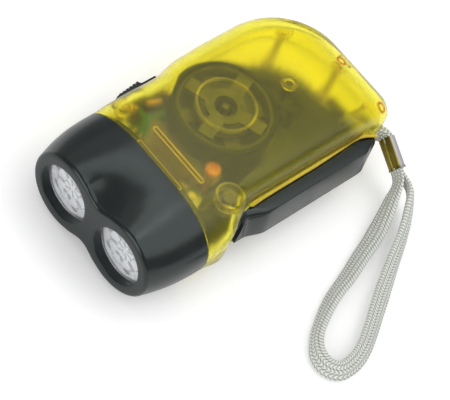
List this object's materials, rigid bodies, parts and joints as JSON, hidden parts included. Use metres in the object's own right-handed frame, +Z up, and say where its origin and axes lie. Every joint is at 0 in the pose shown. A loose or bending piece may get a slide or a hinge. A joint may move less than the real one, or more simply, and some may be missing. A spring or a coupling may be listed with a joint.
{
  "type": "squeeze lever dynamo torch",
  "caption": "Pocket torch with two lamps, driven by a squeeze lever on its side through gears and a flywheel dynamo, in a clear yellow case with a wrist strap.",
  "frame": {"origin": "on the floor under the middle of the body's length, in line with the midpoint between the two lamps", "axes": "+Y from the lamps to the tail (the beams point along -Y), +X towards the squeeze lever, +Z up through the thickness"},
  "size_m": [0.0964, 0.0954, 0.027],
  "materials": {
    "clear_yellow": "transparent tinted, polished",
    "black_plastic": "satin",
    "clear_lens": "clear, moulded facets",
    "mirror_silver": "vacuum metallised",
    "led_clear": "clear epoxy",
    "circuit_green": "solder resist",
    "steel": "turned or stamped",
    "nylon": "moulded",
    "magnet": "sintered ferrite",
    "copper": "enamelled wire",
    "crimp_metal": "plated",
    "tape": "braided"
  },
  "bodies": {
    "housing": {"upper_shell": "clear_yellow", "lower_shell": "clear_yellow", "head_bezel": "black_plastic", "lens_left": "clear_lens", "lens_right": "clear_lens", "reflector_left": "mirror_silver", "reflector_right": "mirror_silver", "led_left": "led_clear", "led_right": "led_clear", "led_board": "circuit_green", "battery_cell_1": "steel", "battery_cell_2": "steel", "battery_cell_3": "steel", "battery_tray": "clear_yellow", "tray_screw": "steel", "charge_board": "circuit_green", "inner_deck": "black_plastic", "switch_body": "black_plastic", "lever_spring": "steel", "lever_pin": "steel", "gear_axle": "steel", "flywheel_axle": "steel", "stator_top_plate": "steel", "stator_bottom_plate": "steel", "coil_bobbin": "nylon", "coil_winding": "copper", "case_screw_1": "steel", "case_screw_2": "steel", "case_screw_3": "steel", "case_screw_4": "steel", "strap_post": "steel", "strap_bight": "tape", "strap_ferrule": "crimp_metal", "wrist_strap": "tape"},
    "lever": {"squeeze_lever": "black_plastic"},
    "lock": {"lock_slider": "black_plastic"},
    "gear": {"drive_gear": "nylon"},
    "rotor": {"flywheel": "black_plastic", "magnet_ring": "magnet", "rotor_pinion": "nylon"},
    "switch": {"switch_slider": "black_plastic"}
  },
  "joints": [
    {"name": "rotor_spin", "type": "hinge", "parent": "housing", "child": "rotor", "pos_m": [-0.0058, 0.00206, 0.0135], "axis": [0, 0, 1], "range_deg": [0, 1085.7]},
    {"name": "gear_spin", "type": "hinge", "parent": "housing", "child": "gear", "pos_m": [-0.00208, 0.02253, 0.0135], "axis": [0, 0, -1], "range_deg": [0, 258.5]},
    {"name": "lever_hinge", "type": "hinge", "parent": "housing", "child": "lever", "pos_m": [0.0165, -0.01625, 0.0135], "axis": [0, 0, -1], "range_deg": [0, 22], "deforming": ["lever_spring"]},
    {"name": "lock_slide", "type": "slide", "parent": "lever", "child": "lock", "axis": [0, 1, 0], "range_m": [0, 0.0025]},
    {"name": "switch_slide", "type": "slide", "parent": "housing", "child": "switch", "axis": [0, -1, 0], "range_m": [0, 0.003]}
  ],
  "couplings": [
    {"joint": "gear_spin", "follows": "rotor_spin", "ratio": 0.2381},
    {"joint": "lever_hinge", "follows": "rotor_spin", "ratio": 0.020263}
  ]
}
